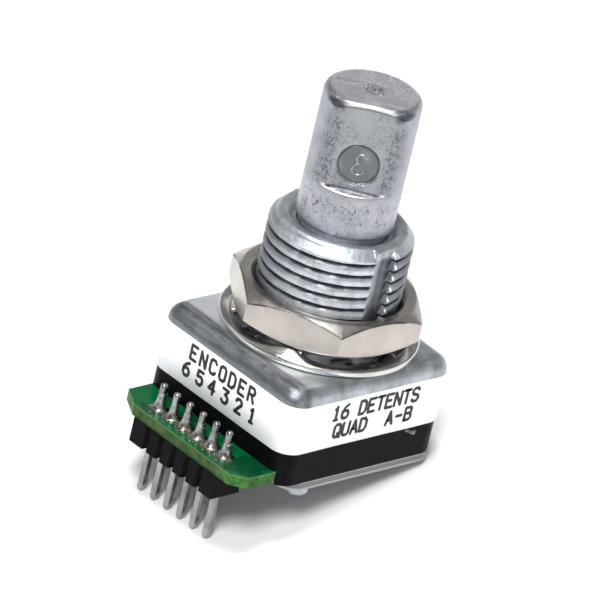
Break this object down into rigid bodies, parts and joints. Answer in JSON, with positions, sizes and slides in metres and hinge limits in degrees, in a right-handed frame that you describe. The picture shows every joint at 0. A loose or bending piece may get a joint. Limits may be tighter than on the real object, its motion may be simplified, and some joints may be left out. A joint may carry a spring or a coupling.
{
  "type": "rotary encoder",
  "caption": "Panel-mount optical rotary encoder: threaded bushing, flatted shaft that turns and pushes, square housing, side pin header.",
  "frame": {"origin": "the shaft axis at the housing's top face, the plane that a panel's washer or nut bears on", "axes": "+Z along the shaft, away from the housing; -Y out of the terminal side; +X out of the other printed side"},
  "size_m": [0.0132, 0.0171, 0.0287],
  "materials": {
    "cap_zinc": "die-cast zinc, as cast",
    "nut_nickel": "nickel plated brass",
    "washer_steel": "bright spring steel",
    "shaft_zinc": "die-cast zinc, as cast, fine pits",
    "label_paper": "white printed film",
    "black_plastic": "fine matt moulding",
    "stainless": "plain stainless sheet",
    "film": "amber polyimide film",
    "circuit_board": "green solder resist on glass fibre board",
    "header_plastic": "black moulding",
    "pin_tin": "tin plated",
    "solder": "solder",
    "acetal": "natural acetal",
    "ball_steel": "polished",
    "spring_steel": "music wire",
    "code_plastic": "black",
    "emitter_resin": "tinted resin",
    "detector_resin": "dark resin",
    "chip": "chip body",
    "dome_steel": "stainless"
  },
  "bodies": {
    "housing": {"housing_cap": "cap_zinc", "hex_nut": "nut_nickel", "lockwasher": "washer_steel", "label": "label_paper", "lower_housing": "black_plastic", "back_plate": "stainless", "insulator": "film", "terminal_pcb": "circuit_board", "header_body": "header_plastic", "pin_1": "pin_tin", "pin_2": "pin_tin", "pin_3": "pin_tin", "pin_4": "pin_tin", "pin_5": "pin_tin", "pin_6": "pin_tin", "solder_1": "solder", "solder_2": "solder", "solder_3": "solder", "solder_4": "solder", "solder_5": "solder", "solder_6": "solder", "detent_spring_a": "spring_steel", "detent_spring_b": "spring_steel", "emitter": "emitter_resin", "detector_a": "detector_resin", "detector_b": "detector_resin", "resistor_a": "chip", "resistor_b": "chip", "dome": "dome_steel"},
    "push": {"push_tip": "acetal"},
    "shaft": {"shaft": "shaft_zinc", "retaining_clip": "spring_steel"},
    "rotor": {"detent_rotor": "acetal", "code_rotor": "code_plastic"},
    "ball_a": {"detent_ball_a": "ball_steel"},
    "ball_b": {"detent_ball_b": "ball_steel"}
  },
  "joints": [
    {"name": "push_slide", "type": "slide", "parent": "housing", "child": "push", "axis": [0, 0, -1], "range_m": [0, 0.0004], "stiffness_N_per_m": 9000, "springref_m": -0.00015, "deforming": ["dome"]},
    {"name": "shaft_spin", "type": "hinge", "parent": "push", "child": "shaft", "pos_m": [0, 0, 0], "axis": [0, 0, 1], "continuous": true},
    {"name": "rotor_spin", "type": "hinge", "parent": "housing", "child": "rotor", "pos_m": [0, 0, -0.0025], "axis": [0, 0, 1], "continuous": true},
    {"name": "ball_a_slide", "type": "slide", "parent": "housing", "child": "ball_a", "axis": [-1, 0, 0], "range_m": [0, 0.00036], "stiffness_N_per_m": 300, "springref_m": 0.0005, "deforming": ["detent_spring_a"]},
    {"name": "ball_b_slide", "type": "slide", "parent": "housing", "child": "ball_b", "axis": [1, 0, 0], "range_m": [0, 0.00036], "stiffness_N_per_m": 300, "springref_m": 0.0005, "deforming": ["detent_spring_b"]}
  ],
  "couplings": [
    {"joint": "rotor_spin", "follows": "shaft_spin", "ratio": 1}
  ]
}
